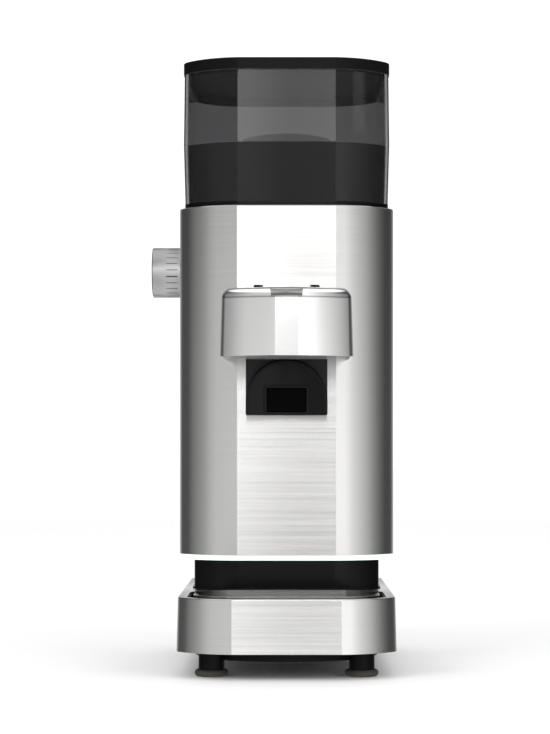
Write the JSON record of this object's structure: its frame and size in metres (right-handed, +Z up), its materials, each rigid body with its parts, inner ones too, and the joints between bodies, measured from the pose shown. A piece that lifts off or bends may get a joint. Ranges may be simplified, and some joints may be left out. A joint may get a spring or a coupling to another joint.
{
  "type": "burr coffee grinder",
  "caption": "Upright domestic burr coffee grinder: steel tower on a steel base, smoke hopper, chrome hood over the outlet, push-start cradle, side grind dial.",
  "frame": {"origin": "on the worktop, at the centre of the four feet", "axes": "+Z up, the front with the hood faces -Y, the grind dial is on the -X side"},
  "size_m": [0.1759, 0.2475, 0.4306],
  "materials": {
    "brushed_case": null,
    "tray_steel": null,
    "black_case": null,
    "black_gloss": null,
    "lid_black": null,
    "pads": null,
    "diffuser": null,
    "boards": null,
    "inner_steel": null,
    "smoke": null,
    "smoke_funnel": null,
    "polished": null,
    "satin_plate": null,
    "button_black": null,
    "cradle_grey": null,
    "cast": null,
    "inner_brass": null,
    "hard_steel": null,
    "gear_plastic": null,
    "magnet": null,
    "dial_aluminium": null
  },
  "bodies": {
    "housing": {"base_shell": "brushed_case", "bottom_cover": "black_case", "foot_pad_front_left": "pads", "foot_pad_front_right": "pads", "foot_pad_rear_left": "pads", "foot_pad_rear_right": "pads", "tray_tub": "black_case", "neck_column": "black_gloss", "light_ring": "diffuser", "led_board": "boards", "body_sleeve": "brushed_case", "top_deck": "black_case", "chassis": "black_case", "mount_plate": "inner_steel", "upper_columns": "inner_steel", "hood_shell": "polished", "hood_plate": "satin_plate", "button_board": "boards", "cradle_block": "cradle_grey", "cradle_arch": "black_gloss", "start_bezel": "black_gloss", "micro_switches": "boards", "grounds_chute": "black_case", "chute_flap": "pads", "burr_chamber": "cast", "spindle_bearings": "inner_steel", "gearbox_case": "black_case", "gearbox_cover": "black_case", "motor_can": "inner_steel", "motor_magnets": "magnet", "motor_end_cap": "black_case", "dial_bearing": "black_case", "control_board": "boards", "power_board": "boards", "cable_gland": "black_case", "case_screws": "inner_steel"},
    "hopper": {"hopper_body": "smoke", "hopper_funnel": "smoke_funnel", "hopper_base": "black_gloss", "bean_guard": "smoke_funnel"},
    "lid": {"hopper_lid": "lid_black", "lid_seal": "pads"},
    "tray": {"crumb_tray": "tray_steel"},
    "dial": {"dial_knob": "dial_aluminium", "dial_shaft": "inner_steel"},
    "adjuster": {"adjuster_ring": "inner_brass"},
    "carrier": {"burr_carrier": "cast", "ring_burr": "hard_steel"},
    "motor": {"motor_rotor": "inner_steel", "motor_pinion": "inner_brass"},
    "idler": {"idler_gear": "gear_plastic"},
    "burr": {"spindle": "inner_steel", "spindle_nut": "inner_steel", "cone_burr": "hard_steel", "sweeper": "black_case", "output_gear": "gear_plastic"},
    "single_cup": {"single_cup_button": "button_black"},
    "double_cup": {"double_cup_button": "button_black"},
    "start": {"start_button": "button_black"}
  },
  "joints": [
    {"name": "hopper_lift", "type": "slide", "parent": "housing", "child": "hopper", "axis": [0, 0, 1], "range_m": [0, 0.06]},
    {"name": "lid_lift", "type": "slide", "parent": "hopper", "child": "lid", "axis": [0, 0, 1], "range_m": [0, 0.03]},
    {"name": "tray_lift", "type": "slide", "parent": "housing", "child": "tray", "axis": [0, 0, 1], "range_m": [0, 0.03]},
    {"name": "dial_turn", "type": "hinge", "parent": "housing", "child": "dial", "pos_m": [-0.07, 0.041, 0.2847], "axis": [1, 0, 0], "range_deg": [-150, 150]},
    {"name": "adjuster_turn", "type": "hinge", "parent": "housing", "child": "adjuster", "pos_m": [0, 0.041, 0.2], "axis": [0, 0, 1], "range_deg": [-18.75, 18.75]},
    {"name": "carrier_feed", "type": "slide", "parent": "adjuster", "child": "carrier", "axis": [0, 0, 1], "range_m": [-0.00055, 0.00055]},
    {"name": "motor_spin", "type": "hinge", "parent": "housing", "child": "motor", "pos_m": [0, 0.041, 0.2], "axis": [0, 0, 1], "continuous": true},
    {"name": "idler_spin", "type": "hinge", "parent": "housing", "child": "idler", "pos_m": [0, 0.074, 0.2], "axis": [0, 0, 1], "continuous": true},
    {"name": "burr_spin", "type": "hinge", "parent": "housing", "child": "burr", "pos_m": [0, 0.041, 0.2], "axis": [0, 0, 1], "continuous": true},
    {"name": "single_cup_press", "type": "slide", "parent": "housing", "child": "single_cup", "axis": [0, 0, -1], "range_m": [0, 0.0008], "stiffness_N_per_m": 400, "springref_m": -0.001},
    {"name": "double_cup_press", "type": "slide", "parent": "housing", "child": "double_cup", "axis": [0, 0, -1], "range_m": [0, 0.0008], "stiffness_N_per_m": 400, "springref_m": -0.001},
    {"name": "start_press", "type": "slide", "parent": "housing", "child": "start", "axis": [0, 1, 0], "range_m": [0, 0.0035], "stiffness_N_per_m": 600, "springref_m": -0.001}
  ],
  "couplings": [
    {"joint": "dial_turn", "follows": "adjuster_turn", "ratio": 8},
    {"joint": "carrier_feed", "follows": "adjuster_turn", "m_per_rad": 0.0015279},
    {"joint": "idler_spin", "follows": "motor_spin", "ratio": -0.22222},
    {"joint": "burr_spin", "follows": "motor_spin", "ratio": 0.083333}
  ]
}
